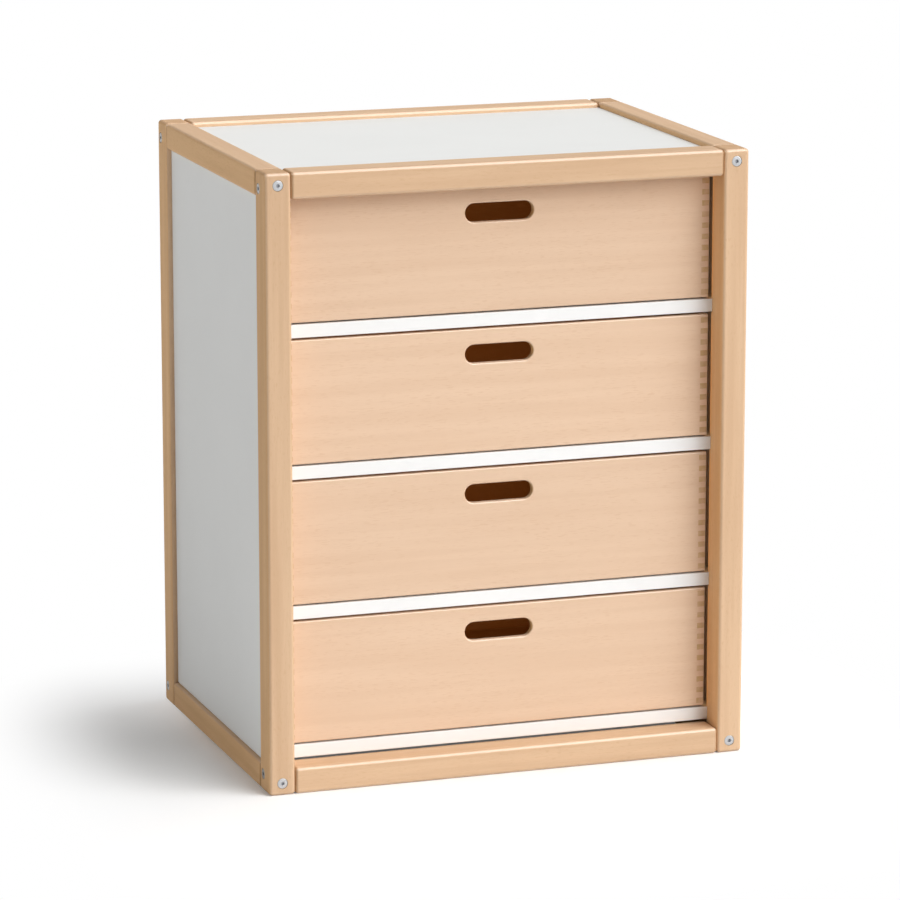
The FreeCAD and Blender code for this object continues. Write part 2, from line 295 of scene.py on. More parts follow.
@dataclass(frozen=True)
class Spots:
    """A random pattern of soft spots.

    Attributes:
        pitch: The size of a spot along each axis.
        edge: The noise at which a spot begins, and at which it is full.
        strength: How strongly the pattern covers the ground outside and inside a spot.
        detail: How many finer layers the noise has.
        rough: How strong the finer layers are.
    """

    pitch: Point
    edge: Span = FULL
    strength: Span = FULL
    detail: Detail = Detail.USUAL
    rough: float = 0.5

    def level(self, graph: Graph, place: Socket) -> Socket:
        """The bare noise at a place.

        Args:
            graph: The tree that gets the nodes.
            place: The place, in metres.

        Returns:
            The noise, from 0 to 1.
        """
        scaled = graph.vector("DIVIDE", place, self.pitch)
        inputs = {"Vector": scaled, "Scale": 1.0, "Detail": self.detail.value, "Roughness": self.rough}
        return graph.add("ShaderNodeTexNoise", inputs).outputs["Fac"]

    def cover(self, graph: Graph, level: Socket) -> Socket:
        """How strongly the pattern covers a place with that noise."""
        return graph.spread(level, self.edge, self.strength)

    def laid(self, graph: Graph, place: Socket) -> Socket:
        """How strongly the pattern covers a place."""
        return self.cover(graph, self.level(graph, place))


@dataclass(frozen=True, kw_only=True)
class Finish(ABC):
    """A surface finish: a material that is made once and shared by the pieces that wear it.

    Attributes:
        name: The material's name.
        gloss_roughness: The middle of the roughness.
        gloss_swing: How far the roughness goes from one end of its pattern to the other.
        bump_strength: How much of the relief shows, from 0 to 1.
        bump_height: The height of the relief.
    """

    name: str
    gloss_roughness: float
    gloss_swing: float
    bump_strength: float
    bump_height: float

    @abstractmethod
    def surface(self, graph: Graph) -> dict[str, Feed]:
        """The shader's inputs, by name."""

    def material(self) -> bpy.types.Material:
        """The material, built on its first use.

        Returns:
            The material with the finish's name.
        """
        if self.name in bpy.data.materials:
            return bpy.data.materials[self.name]
        made = bpy.data.materials.new(self.name)
        graph = Graph.cleared(made)
        shader = graph.add("ShaderNodeBsdfPrincipled", self.surface(graph))
        graph.add("ShaderNodeOutputMaterial", {"Surface": shader.outputs[0]})
        return made

    def roughness(self, graph: Graph, pattern: Socket) -> Socket:
        """The finish's roughness, which swings as a pattern goes from 0 to 1."""
        start = self.gloss_roughness - self.gloss_swing / 2
        return graph.math("MULTIPLY_ADD", pattern, self.gloss_swing, start)

    def relief(self, graph: Graph, height: Socket) -> Socket:
        """A normal that follows a pattern of heights."""
        inputs = {"Strength": self.bump_strength, "Distance": self.bump_height, "Height": height}
        return graph.add("ShaderNodeBump", inputs).outputs[0]


# The growth bands and ray flecks of beech, with the fibres along the last axis
BANDS = Spots(drawn(0.016, 0.42), (0.32, 0.68), detail=Detail.RICH)
RAYS = Spots(drawn(0.0017, 0.009), (0.58, 0.7), detail=Detail.PLAIN, rough=0.3)


@dataclass(frozen=True, kw_only=True)
class Beech(Finish):
    """Beech with a clear satin lacquer: soft growth bands, fine fibres and short ray flecks.

    Attributes:
        pale: The colour between the growth bands.
        deep: The colour of the bands and fibres.
        fleck: The colour of ray flecks and pores.
        end: The colour of end grain, laid as painted shade on rounded edges too.
        grain: The way that the fibres run.
        ray_patches: Where the ray flecks are many and where few.
        fleck_share: How strongly the flecks show.
        fleck_depth: How deep the flecks lie, against the height of the fibres.
        soaked: How strongly end grain has taken up the lacquer.
        end_grain_and_shade_edge: How far a surface turns across the fibres before the end colour begins,
            and is full; begun early, it lays that colour on rounded edges as painted shade.
        painted_left_shade: What multiplies the colour of faces to the left: painted warm shade.
        painted_left_shade_edge: How far a surface turns to the left before that painted shade begins, and
            is full.
        piece_shift: The step in the pattern from one piece to the next.
        piece_tone: The most that a piece is lighter or darker than the others.
        polish_up: How far an edge turns up or down before its polish begins, and is full.
        polish_front: How far an edge turns to the front or back before its polish begins, and is full.
    """

    pale: Colour
    deep: Colour
    fleck: Colour
    end: Colour
    grain: Grain = Grain.UPRIGHT
    bands: Spots = BANDS
    fibres: Spots = Spots(drawn(0.0009, 0.03), (0.35, 0.75), (0.0, 0.35))
    rays: Spots = RAYS
    ray_patches: Spots = Spots(drawn(0.05, 0.16), (0.3, 0.65), (0.35, 1.0), Detail.PLAIN)
    fleck_share: float = 0.5
    fleck_depth: float = 0.5
    pores: Spots = Spots(even(0.0006), (0.45, 0.65), (0.0, 0.5), Detail.PLAIN)
    soaked: Spots = Spots(even(0.012), (0.3, 0.7), (0.6, 0.95), Detail.PLAIN)
    # Begun early, the end colour lays painted shade on rounded edges
    end_grain_and_shade_edge: Span = (0.2, 0.85)
    end_roughness: float = 0.2
    # Painted warm shade on faces to the left
    painted_left_shade: Colour = (1.1, 1.02, 0.84)
    painted_left_shade_edge: Span = (0.6, 0.95)
    piece_shift: Point = (0.37, 0.61, 1.13)
    piece_tone: float = 0.05
    polish_up: Span = (0.15, 0.4)
    polish_front: Span = (0.2, 0.45)
    gloss_roughness: float = 0.48
    gloss_swing: float = 0.12
    bump_strength: float = 0.12
    bump_height: float = 0.0004
    specular: float = 0.02
    coat_roughness: float = 0.25
    coat_ior: float = 1.75

    def along(self, grain: Grain) -> "Beech":
        """The same wood with its fibres laid one way."""
        return replace(self, name=f"{self.name}_{grain.name.lower()}", grain=grain)

    def surface(self, graph: Graph) -> dict[str, Feed]:
        """Lacquered wood, with its own pattern on every piece.

        Args:
            graph: The material's graph.

        Returns:
            The shader's inputs, by name.
        """
        coordinates = graph.add("ShaderNodeTexCoord").outputs
        normal = coordinates["Normal"]
        number = graph.add("ShaderNodeObjectInfo").outputs["Object Index"]
        place = self.place(graph, coordinates["Object"], number)
        fibre = self.fibres.level(graph, place)
        fleck = graph.math("MULTIPLY", self.rays.laid(graph, place), self.ray_patches.laid(graph, place))
        cut = self.end_grain_and_shade(graph, normal)
        colour = self.long_grain(graph, place, fibre, fleck)
        colour = self.with_ends(graph, place, cut, colour)
        height = graph.math("MULTIPLY_ADD", fleck, -self.fleck_depth, fibre)
        return {
            "Base Color": self.toned_with_left_shade(graph, number, normal, colour),
            "Roughness": graph.math("MULTIPLY_ADD", cut, self.end_roughness, self.roughness(graph, fibre)),
            "Normal": self.relief(graph, height),
            "Specular IOR Level": self.specular,
            "Coat Weight": self.polished(graph, normal),
            "Coat Roughness": self.coat_roughness,
            "Coat IOR": self.coat_ior,
        }

    def place(self, graph: Graph, point: Socket, number: Socket) -> Socket:
        """A place in the wood, with the fibres along its last axis.

        Args:
            graph: The tree that gets the nodes.
            point: The place on the piece.
            number: The piece's number, which moves the pattern on.

        Returns:
            The place.
        """
        parts = graph.parts(point)
        turned = graph.joined({slot: parts[letter] for slot, letter in enumerate(self.grain.value)})
        return graph.vector("ADD", turned, graph.scaled(self.piece_shift, number))

    def long_grain(self, graph: Graph, place: Socket, fibre: Socket, fleck: Socket) -> Socket:
        """The colour of wood that is cut along its fibres.

        Args:
            graph: The tree that gets the nodes.
            place: The place in the wood.
            fibre: The noise of the fibres.
            fleck: How much of a ray fleck lies there.

        Returns:
            The colour.
        """
        colour = graph.tint(self.bands.laid(graph, place), self.pale, self.deep)
        colour = graph.tint(self.fibres.cover(graph, fibre), colour, self.deep)
        return graph.tint(graph.math("MULTIPLY", fleck, self.fleck_share), colour, self.fleck)

    def with_ends(self, graph: Graph, place: Socket, cut: Socket, colour: Socket) -> Socket:
        """A colour with the darker, pitted end grain laid over it, which on rounded edges is painted shade.

        Args:
            graph: The tree that gets the nodes.
            place: The place in the wood.
            cut: How much of the surface takes the end colour: end grain, and painted shade on rounded
                edges.
            colour: The colour of the long grain.

        Returns:
            The colour.
        """
        pitted = graph.tint(self.pores.laid(graph, place), self.end, self.fleck)
        share = graph.math("MULTIPLY", cut, self.soaked.laid(graph, place))
        return graph.tint(share, colour, pitted)

    def toned_with_left_shade(self, graph: Graph, number: Socket, normal: Socket, colour: Socket) -> Socket:
        """A colour in the piece's own tone, with painted warm shade on faces to the left.

        Args:
            graph: The tree that gets the nodes.
            number: The piece's number.
            normal: The way that the surface faces.
            colour: The colour of the wood.

        Returns:
            The colour.
        """
        chance = graph.add("ShaderNodeTexWhiteNoise", {"W": number}, noise_dimensions="1D").outputs["Value"]
        tone = graph.spread(chance, FULL, (1.0 - self.piece_tone, 1.0 + self.piece_tone))
        # Painted warm shade: faces turned to the left take a warmer, deeper colour
        leftward = graph.math("MULTIPLY", graph.parts(normal)["X"], -1.0)
        left = graph.spread(leftward, self.painted_left_shade_edge)
        return graph.tint(left, graph.scaled(colour, tone), self.painted_left_shade, "MULTIPLY")

    def polished(self, graph: Graph, normal: Socket) -> Socket:
        """1 on the rounded edges along the width, which hands and sanding polish, and 0 elsewhere.

        Args:
            graph: The tree that gets the nodes.
            normal: The way that the surface faces.

        Returns:
            The number.
        """
        parts = graph.parts(graph.vector("ABSOLUTE", normal))
        level = graph.spread(parts["Z"], self.polish_up)
        return graph.math("MULTIPLY", level, graph.spread(parts["Y"], self.polish_front))

    def end_grain_and_shade(self, graph: Graph, normal: Socket) -> Socket:
        """1 where the saw cut across the fibres, 0 on long grain, and part way on rounded edges that turn
        across them, where it paints shade.
        """
        facing = graph.math("ABSOLUTE", graph.parts(normal)[self.grain.value[-1]])
        return graph.spread(facing, self.end_grain_and_shade_edge)


@dataclass(frozen=True, kw_only=True)
class Laminate(Finish):
    """White melamine on board: a satin face with a fine pearl grain."""

    white: Colour
    cloud: Colour
    clouds: Spots = Spots(even(0.12), (0.3, 0.7), detail=Detail.RICH)
    pearl: Spots = Spots(even(0.0011))
    specular: float = 0.12
    gloss_roughness: float = 0.42
    gloss_swing: float = 0.14
    bump_strength: float = 0.06
    bump_height: float = 0.0003

    def surface(self, graph: Graph) -> dict[str, Feed]:
        """A clouded white with pearl in its gloss.

        Args:
            graph: The material's graph.

        Returns:
            The shader's inputs, by name.
        """
        place = graph.add("ShaderNodeTexCoord").outputs["Object"]
        pearl = self.pearl.level(graph, place)
        return {
            "Base Color": graph.tint(self.clouds.laid(graph, place), self.white, self.cloud),
            "Roughness": self.roughness(graph, pearl),
            "Normal": self.relief(graph, pearl),
            "Specular IOR Level": self.specular,
        }


@dataclass(frozen=True, kw_only=True)
class Zinc(Finish):
    """Zinc-plated steel with the fine rings of turning on a bolt head."""

    bright: Colour
    dull: Colour
    # Painted shade in the hex socket, deepest at its bottom
    painted_socket_shade: Colour
    spangle: Spots = Spots(even(0.0016), (0.35, 0.65))
    socket_shade_depth: Span = (0.0002, 0.0012)
    ring_pitch: float = 0.0007
    metallic: float = 0.5
    gloss_roughness: float = 0.3
    gloss_swing: float = 0.16
    bump_strength: float = 0.08
    bump_height: float = 0.0001

    def surface(self, graph: Graph) -> dict[str, Feed]:
        """Spangled metal with turned rings, and painted shade in the sockets.

        Args:
            graph: The material's graph.

        Returns:
            The shader's inputs, by name.
        """
        place = graph.add("ShaderNodeTexCoord").outputs["Object"]
        spangle = self.spangle.level(graph, place)
        colour = graph.tint(self.spangle.cover(graph, spangle), self.bright, self.dull)
        # Painted shade: darker the deeper a point lies in the hex socket
        socket_shaded = graph.spread(graph.attribute(SOCKET_RECESS), self.socket_shade_depth)
        turn = graph.math("DIVIDE", graph.attribute(TURNING_RADIUS), self.ring_pitch)
        ring = graph.math("SINE", graph.math("MULTIPLY", turn, math.tau))
        return {
            "Base Color": graph.tint(socket_shaded, colour, self.painted_socket_shade),
            "Metallic": self.metallic,
            "Roughness": self.roughness(graph, spangle),
            "Normal": self.relief(graph, ring),
        }


@dataclass(frozen=True, kw_only=True)
class Plastic(Finish):
    """Plain sliding strip: matte plastic, rubbed shiny in streaks along its run."""

    colour: Colour
    rubbed: Colour
    streaks: Spots = Spots((0.0012, 0.09, 0.0012), (0.35, 0.7))
    gloss_roughness: float = 0.5
    gloss_swing: float = -0.2
    bump_strength: float = 0.08
    bump_height: float = 0.0002

    def surface(self, graph: Graph) -> dict[str, Feed]:
        """Matte plastic with paler, shinier streaks.

        Args:
            graph: The material's graph.

        Returns:
            The shader's inputs, by name.
        """
        place = graph.add("ShaderNodeTexCoord").outputs["Object"]
        streak = self.streaks.level(graph, place)
        return {
            "Base Color": graph.tint(self.streaks.cover(graph, streak), self.colour, self.rubbed),
            "Roughness": self.roughness(graph, streak),
            "Normal": self.relief(graph, streak),
        }


FRAME_BEECH = Beech(
    name="beech_frame",
    pale=(0.74, 0.513, 0.331),
    deep=(0.67, 0.447, 0.28),
    fleck=(0.58, 0.35, 0.19),
    end=(0.63, 0.405, 0.24),
    fleck_share=0.25,
)
# The rails' round ends show only in the joints: their darker end colour, begun early on the rounding, is
# end grain that has soaked up lacquer and also painted shade in the joints' crevices, which outweighs the
# key light on ends turned to it
RAIL_BEECH = replace(FRAME_BEECH, name="beech_rail", end=(0.46, 0.285, 0.16), end_grain_and_shade_edge=(0.05, 0.6))
DRAWER_BEECH = Beech(
    name="beech_drawer",
    pale=(0.81, 0.587, 0.42),
    deep=(0.772, 0.547, 0.384),
    fleck=(0.69, 0.45, 0.285),
    end=(0.58, 0.375, 0.185),
    rays=replace(RAYS, pitch=drawn(0.0014, 0.011)),
    fleck_share=0.35,
    piece_tone=0.02,
)
DRAWER_PLY = Beech(
    name="drawer_ply",
    pale=(0.75, 0.545, 0.37),
    deep=(0.68, 0.47, 0.305),
    fleck=(0.58, 0.37, 0.22),
    end=(0.52, 0.34, 0.2),
    bands=replace(BANDS, pitch=drawn(0.03, 0.42)),
)
DOWEL_WOOD = Beech(
    name="dowel_wood",
    pale=(0.7, 0.5, 0.32),
    deep=(0.62, 0.42, 0.26),
    fleck=(0.52, 0.33, 0.19),
    end=(0.5, 0.33, 0.2),
    gloss_roughness=0.62,
)
WHITE_FACE = Laminate(name="melamine_face", white=(0.835, 0.838, 0.82), cloud=(0.825, 0.828, 0.81))
WHITE_EDGING = Laminate(name="melamine_edging", white=(0.92, 0.918, 0.905), cloud=(0.905, 0.903, 0.89))
BOLT_ZINC = Zinc(
    name="bolt_zinc",
    bright=(0.555, 0.57, 0.585),
    dull=(0.485, 0.495, 0.51),
    painted_socket_shade=(0.4, 0.41, 0.44),
)
# A darker copy of the zinc for the left side's bolts: painted shade on that side
SHADED_ZINC = Zinc(
    name="bolt_zinc_dull",
    bright=(0.4, 0.385, 0.37),
    dull=(0.34, 0.33, 0.315),
    painted_socket_shade=(0.27, 0.265, 0.265),
)
GLIDE_PLASTIC = Plastic(name="glide_strip", colour=(0.55, 0.53, 0.49), rubbed=(0.66, 0.64, 0.6))


def drawer_bodies() -> list[str]:
    """The names of the bodies that are drawers."""
    return [body for body in frame["bodies"] if body != CABINET]


def dress(node: str, finish: Finish, number: int = 0) -> None:
    """Gives a CAD node its finish.

    Args:
        node: The node's name.
        finish: The finish.
        number: A number that shifts the pattern of this piece.
    """
    piece = frame["nodes"][node]
    material = finish.material()
    piece.material_slots[0].material = material
    piece.pass_index = number
    log.info("%s wears %s", node, material.name)


@dataclass
class BarFrame:
    """The bolted frame: four posts, and rails between them across and along the depth."""

    ends: tuple[str, ...] = ("front", "back")
    sides: tuple[str, ...] = ("left", "right")
    levels: tuple[str, ...] = ("top", "bottom")

    def bars(self) -> dict[str, Beech]:
        """Every bar with its finish.

        Returns:
            The finish of each bar, by node.
        """
        upright = FRAME_BEECH.along(Grain.UPRIGHT)
        across = RAIL_BEECH.along(Grain.ACROSS)
        deep = RAIL_BEECH.along(Grain.DEEP)
        found = {f"post_{end}_{side}": upright for end in self.ends for side in self.sides}
        for level in self.levels:
            found.update({f"rail_{end}_{level}": across for end in self.ends})
            found.update({f"rail_{side}_{level}": deep for side in self.sides})
        return found

    def build(self) -> None:
        """Dresses the bars and the hidden dowels that line them up."""
        for number, (node, finish) in enumerate(self.bars().items(), start=1):
            dress(node, finish, number)
        dress("rail_dowels", DOWEL_WOOD.along(Grain.ACROSS))


@dataclass
class WhiteBoards:
    """The white panels in the frame, and the shelves that the drawers slide on."""

    panels: tuple[str, ...] = ("panel_left", "panel_right", "panel_back", "panel_top")

    def build(self) -> None:
        """Dresses the boards and the hidden dowels in their edges."""
        shelves = [node for node in frame["nodes"] if node.startswith("shelf_") and "dowel" not in node]
        for node in self.panels:
            dress(node, WHITE_FACE)
        for node in (*shelves, "board_bottom"):
            dress(node, WHITE_EDGING)
        dress("shelf_dowels", DOWEL_WOOD.along(Grain.ACROSS))


@dataclass
class Drawer:
    """One drawer: four finger-jointed boards, a thin bottom and two glide strips."""

    body: str

    def build(self) -> None:
        """Dresses the pieces of the drawer."""
        number = int(self.body.split("_")[-1])
        boards = {"front": Grain.ACROSS, "back": Grain.ACROSS, "left": Grain.DEEP, "right": Grain.DEEP}
        for place, (name, grain) in enumerate(boards.items()):
            dress(f"{self.body}_{name}", DRAWER_BEECH.along(grain), number * len(boards) + place)
        dress(f"{self.body}_bottom", DRAWER_PLY.along(Grain.ACROSS), number)
        dress(f"{self.body}_glides", GLIDE_PLASTIC)


@dataclass
class FrameBolts:
    """The round-headed frame bolts of one side, each with a hex socket."""

    side: Side
    finish: Zinc = BOLT_ZINC
    head_radius: float = 0.0075
    head_height: float = 0.0025
    rim_radius: float = 0.0008
    shank_radius: float = 0.003
    shank_length: float = 0.052
    socket_flats: float = 0.005
    socket_depth: float = 0.0032
    head_sides: int = 64
    shank_sides: int = 32
    rim_steps: int = 4
    crease_degrees: float = 35.0
    spin_seed: int = 7

    @property
    def node(self) -> str:
        """The CAD node that the bolts stand for."""
        return f"bolts_{self.side.name.lower()}"

    def lengths(self) -> dict[str, float]:
        """The sizes that the node tree takes as named inputs.

        Returns:
            Each length, by the input's name.
        """
        return {
            "Head Radius": self.head_radius,
            "Head Height": self.head_height,
            "Rim Radius": self.rim_radius,
            "Shank Radius": self.shank_radius,
            "Shank Length": self.shank_length,
            "Socket Flats": self.socket_flats,
            "Socket Depth": self.socket_depth,
        }

    def places(self) -> list[Vector]:
        """The middle of each head's outer face, from the box of the CAD bolts.

        Returns:
            The places.
        """
        low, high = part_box(self.node)
        choices = []
        for axis, outward in enumerate(self.side.outward):
            if outward:
                choices.append([high[axis] if outward > 0 else low[axis]])
            else:
                choices.append([low[axis] + self.head_radius, high[axis] - self.head_radius])
        return [Vector(place) for place in itertools.product(*choices)]

    def tree(self) -> bpy.types.NodeTree:
        """The node tree that turns one bolt and sets a copy at every point.

        Returns:
            The geometry node tree, with its sizes as named inputs.
        """
        tree = bpy.data.node_groups.new(f"{self.node}_tree", "GeometryNodeTree")
        kinds = {
            "Geometry": "NodeSocketGeometry",
            **dict.fromkeys(self.lengths(), "NodeSocketFloat"),
            "Facing": "NodeSocketVector",
            "Spin Seed": "NodeSocketInt",
            "Material": "NodeSocketMaterial",
        }
        for name, kind in kinds.items():
            tree.interface.new_socket(name, in_out="INPUT", socket_type=kind)
        tree.interface.new_socket("Geometry", in_out="OUTPUT", socket_type="NodeSocketGeometry")
        graph = Graph(tree)
        given = graph.add("NodeGroupInput").outputs
        bolt = self.bolt(graph, given)
        points = {"Points": given["Geometry"], "Instance": bolt, "Rotation": given["Facing"]}
        copies = graph.add("GeometryNodeInstanceOnPoints", points).outputs[0]
        spin = graph.random(0.0, math.tau, given["Spin Seed"])
        spun = {"Instances": copies, "Rotation": graph.joined({"Z": spin})}
        copies = graph.add("GeometryNodeRotateInstances", spun).outputs[0]
        solid = graph.add("GeometryNodeRealizeInstances", {0: copies}).outputs[0]
        worn = graph.add("GeometryNodeSetMaterial", {"Geometry": solid, "Material": given["Material"]})
        graph.add("NodeGroupOutput", {0: worn.outputs[0]})
        return tree

    def bolt(self, graph: Graph, given: Outputs) -> Socket:
        """One bolt that stands head up, with the middle of its outer face at the origin.

        Args:
            graph: The tree that gets the nodes.
            given: The named sizes.

        Returns:
            The bolt's mesh.
        """
        head, shank = self.head(graph, given), self.shank(graph, given)
        whole = graph.add("GeometryNodeMeshBoolean", {1: head}, operation="UNION")
        graph.feed(whole.inputs[1], shank)
        pair = {0: whole.outputs[0], 1: self.hex_key(graph, given)}
        cut = graph.add("GeometryNodeMeshBoolean", pair, operation="DIFFERENCE")
        return self.finished(graph, given, cut.outputs[0])

    def head(self, graph: Graph, given: Outputs) -> Socket:
        """A round head whose rim is rounded in steps.

        Args:
            graph: The tree that gets the nodes.
            given: The named sizes.

        Returns:
            The head's mesh.
        """
        rim = given["Rim Radius"]
        straight = graph.math("SUBTRACT", given["Head Height"], rim)
        drum = {"Vertices": self.head_sides, "Radius": given["Head Radius"], "Depth": straight}
        cylinder = graph.add("GeometryNodeMeshCylinder", drum)
        mesh, face = cylinder.outputs["Mesh"], cylinder.outputs["Top"]
        for step in range(self.rim_steps):
            begin = math.pi / 2 * step / self.rim_steps
            end = math.pi / 2 * (step + 1) / self.rim_steps
            rise = graph.math("MULTIPLY", rim, math.sin(end) - math.sin(begin))
            ring = {"Mesh": mesh, "Selection": face, "Offset Scale": rise}
            raised = graph.add("GeometryNodeExtrudeMesh", ring, mode="FACES")
            face = raised.outputs["Top"]
            wide, narrow = self.rim_width(graph, given, begin), self.rim_width(graph, given, end)
            shrink = graph.math("DIVIDE", narrow, wide)
            shrunk = {"Geometry": raised.outputs["Mesh"], "Selection": face, "Scale": shrink}
            mesh = graph.add("GeometryNodeScaleElements", shrunk, domain="FACE").outputs[0]
        drop = graph.math("MULTIPLY_ADD", straight, -0.5, graph.math("MULTIPLY", rim, -1.0))
        return self.shifted(graph, mesh, drop)

    def rim_width(self, graph: Graph, given: Outputs, angle: float) -> Socket:
        """The head's radius at an angle along its rounded rim."""
        lost = graph.math("MULTIPLY", given["Rim Radius"], 1 - math.cos(angle))
        return graph.math("SUBTRACT", given["Head Radius"], lost)

    def shank(self, graph: Graph, given: Outputs) -> Socket:
        """The shank, from inside the head downwards.

        Args:
            graph: The tree that gets the nodes.
            given: The named sizes.

        Returns:
            The shank's mesh.
        """
        length = given["Shank Length"]
        rod = {"Vertices": self.shank_sides, "Radius": given["Shank Radius"], "Depth": length}
        mesh = graph.add("GeometryNodeMeshCylinder", rod).outputs["Mesh"]
        middle = graph.math("MULTIPLY", graph.math("ADD", length, given["Head Height"]), -0.5)
        return self.shifted(graph, mesh, middle)

    def hex_key(self, graph: Graph, given: Outputs) -> Socket:
        """The prism that cuts the socket; its upper half stands out of the head.

        Args:
            graph: The tree that gets the nodes.
            given: The named sizes.

        Returns:
            The prism's mesh.
        """
        radius = graph.math("DIVIDE", given["Socket Flats"], math.sqrt(3))
        depth = graph.math("MULTIPLY", given["Socket Depth"], 2.0)
        prism = {"Vertices": HEX_SIDES, "Radius": radius, "Depth": depth}
        return graph.add("GeometryNodeMeshCylinder", prism).outputs["Mesh"]

    def shifted(self, graph: Graph, mesh: Socket, height: Socket) -> Socket:
        """A mesh moved up or down its axis."""
        moved = {"Geometry": mesh, "Translation": graph.joined({"Z": height})}
        return graph.add("GeometryNodeTransform", moved).outputs[0]

    def kept(self, graph: Graph, mesh: Socket, name: str, value: Socket) -> Socket:
        """A mesh with a named value stored on its points.

        Args:
            graph: The tree that gets the nodes.
            mesh: The bare mesh.
            name: The value's name.
            value: The value at each point.

        Returns:
            The mesh that carries the value.
        """
        keep = {"Geometry": mesh, "Name": name, "Value": value}
        store = graph.add("GeometryNodeStoreNamedAttribute", keep, data_type="FLOAT", domain="POINT")
        return store.outputs[0]

    def finished(self, graph: Graph, given: Outputs, mesh: Socket) -> Socket:
        """A bolt with smooth round faces and crisp edges, and what its finish needs stored on it.

        Args:
            graph: The tree that gets the nodes.
            given: The named sizes.
            mesh: The bare bolt.

        Returns:
            The bolt's mesh.
        """
        place = graph.add("GeometryNodeInputPosition").outputs[0]
        radius = graph.length(graph.vector("MULTIPLY", place, (1.0, 1.0, 0.0)))
        inside = graph.math("LESS_THAN", radius, graph.math("MULTIPLY", given["Head Radius"], 0.5))
        below = graph.math("MULTIPLY", graph.parts(place)["Z"], -1.0)
        turned = self.kept(graph, mesh, TURNING_RADIUS, radius)
        stored = self.kept(graph, turned, SOCKET_RECESS, graph.math("MULTIPLY", below, inside))
        smooth = graph.add("GeometryNodeSetShadeSmooth", {"Geometry": stored}, domain="FACE")
        bend = graph.add("GeometryNodeInputMeshEdgeAngle").outputs["Unsigned Angle"]
        crisp = {
            "Geometry": smooth.outputs[0],
            "Selection": graph.math("GREATER_THAN", bend, math.radians(self.crease_degrees)),
            "Shade Smooth": False,
        }
        return graph.add("GeometryNodeSetShadeSmooth", crisp, domain="EDGE").outputs[0]

    def build(self) -> bpy.types.Object:
        """Makes the bolts as one plain mesh that stands for the CAD bolts.

        Returns:
            The finished piece.
        """
        points = bpy.data.meshes.new(f"{self.node}_points")
        points.from_pydata(self.places(), [], [])
        piece = bpy.data.objects.new(f"{self.node}_turned", points)
        bpy.context.scene.collection.objects.link(piece)
        modifier = piece.modifiers.new("bolts", "NODES")
        modifier.node_group = self.tree()
        material = self.finish.material()
        chosen = {"Facing": self.side.turns, "Spin Seed": self.spin_seed, "Material": material}
        values = {**self.lengths(), **chosen}
        for socket in modifier.node_group.interface.items_tree:
            if socket.name in values:
                modifier[socket.identifier] = values[socket.name]
        bpy.context.view_layer.update()
        solid = bpy.data.meshes.new_from_object(piece.evaluated_get(bpy.context.evaluated_depsgraph_get()))
        piece.modifiers.clear()
        solid.materials.clear()
        solid.materials.append(material)
        solid.polygons.foreach_set("material_index", [0] * len(solid.polygons))
        piece.data = solid
        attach(piece, CABINET)
        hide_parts(self.node)
        log.info("%s has %d faces", piece.name, len(solid.polygons))
        return piece


@dataclass(frozen=True)
class SoftLight:
    """A far soft light.

    Attributes:
        name: The light's name.
        azimuth: Where it hangs, in degrees from the front to the right.
        elevation: How high it hangs, in degrees over the floor.
        level: Its strength, where 1 shows a face that looks at it in its own colour.
        spread: Its width as the object sees it, in degrees.
    """

    name: str
    azimuth: float
    elevation: float
    level: float
    spread: float

    def build(self) -> None:
        """Hangs the light."""
        lamp = bpy.data.lights.new(self.name, "SUN")
        lamp.energy = self.level * math.pi
        lamp.angle = math.radians(self.spread)
        holder = bpy.data.objects.new(self.name, lamp)
        side, height = math.radians(self.azimuth), math.radians(self.elevation)
        flat = math.cos(height)
        towards = Vector((math.sin(side) * flat, -math.cos(side) * flat, math.sin(height)))
        holder.rotation_euler = towards.to_track_quat("Z", "Y").to_euler()
        bpy.context.scene.collection.objects.link(holder)


@dataclass(frozen=True)
class InnerGlow:
    """A weak warm light in a closed hollow, where the wood passes light on from wall to wall."""

    name: str
    place: Point
    facing: Point
    size: Span
    watts: float
    colour: Colour

    def build(self) -> None:
        """Hangs the light, out of the camera's sight."""
        lamp = bpy.data.lights.new(self.name, "AREA")
        lamp.shape = "RECTANGLE"
        lamp.size, lamp.size_y = self.size
        lamp.energy = self.watts
        lamp.color = self.colour
        holder = bpy.data.objects.new(self.name, lamp)
        holder.location = self.place
        holder.rotation_euler = (-Vector(self.facing)).to_track_quat("Z", "Y").to_euler()
        holder.visible_camera = False
        holder.visible_glossy = False
        bpy.context.scene.collection.objects.link(holder)


